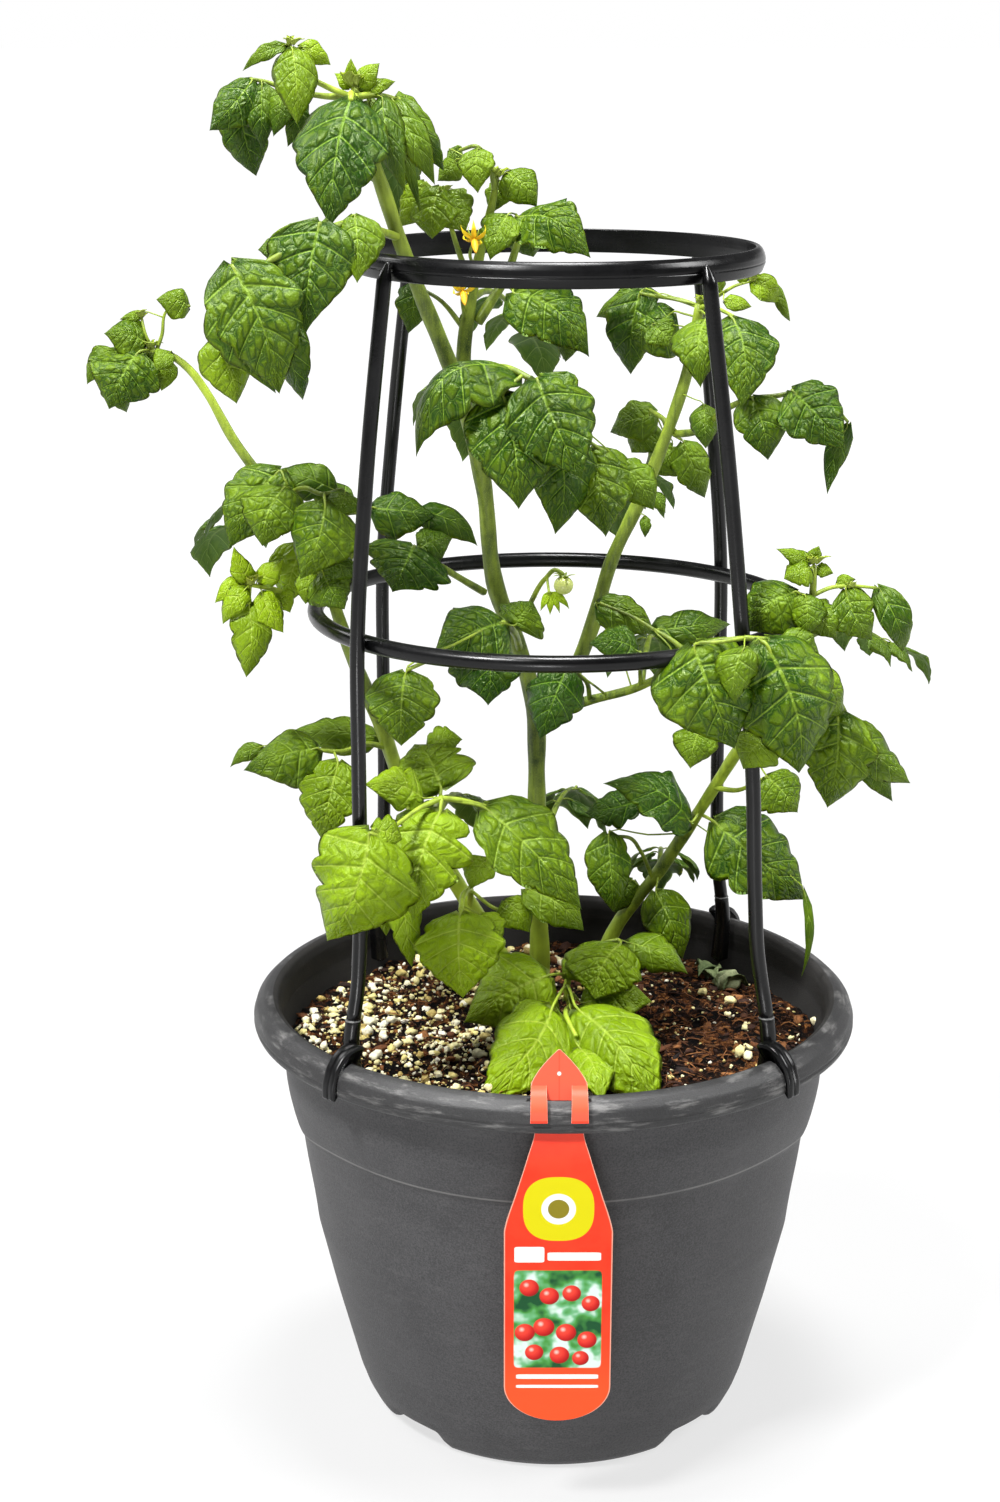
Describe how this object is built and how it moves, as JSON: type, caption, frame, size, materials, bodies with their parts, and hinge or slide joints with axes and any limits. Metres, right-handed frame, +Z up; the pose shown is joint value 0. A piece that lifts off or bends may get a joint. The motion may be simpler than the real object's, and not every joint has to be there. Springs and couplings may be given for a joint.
{
  "type": "potted tomato plant",
  "caption": "Young tomato plant with drooping compound leaves, standing in a round hoop cage, standing in a dark plastic pot with a hanging plant tag.",
  "frame": {"origin": "middle of the pot's flat underside", "axes": "+Z up along the pot's axis; -Y is the front, where the tag hangs; +X to the viewer's right"},
  "size_m": [0.4251, 0.3107, 0.6895],
  "materials": {
    "pot_plastic": "matte dark warm grey, finely grained",
    "soil_mix": "loose brown peat, bark and perlite",
    "cage_plastic": "glossy black",
    "tag_card": "glossy printed orange-red sheet",
    "leaf_green": "hairy green leaf and stem",
    "petal_yellow": "soft yellow petal",
    "fruit_green": "smooth unripe green skin"
  },
  "bodies": {
    "root": {"pot": "pot_plastic", "soil": "soil_mix", "cage_top_hoop": "cage_plastic", "cage_middle_hoop": "cage_plastic", "cage_leg_front_left": "cage_plastic", "cage_leg_front_right": "cage_plastic", "cage_leg_back_left": "cage_plastic", "cage_leg_back_right": "cage_plastic", "rim_clip_front_left": "cage_plastic", "rim_clip_front_right": "cage_plastic", "rim_clip_back_left": "cage_plastic", "rim_clip_back_right": "cage_plastic", "plant_tag": "tag_card", "main_stem": "leaf_green", "centre_shoot": "leaf_green", "left_shoot": "leaf_green", "right_tall_shoot": "leaf_green", "right_middle_branch": "leaf_green", "right_low_shoot": "leaf_green", "base_sprout": "leaf_green", "flower_upper": "petal_yellow", "flower_lower": "petal_yellow", "young_fruit": "fruit_green"}
  },
  "joints": []
}
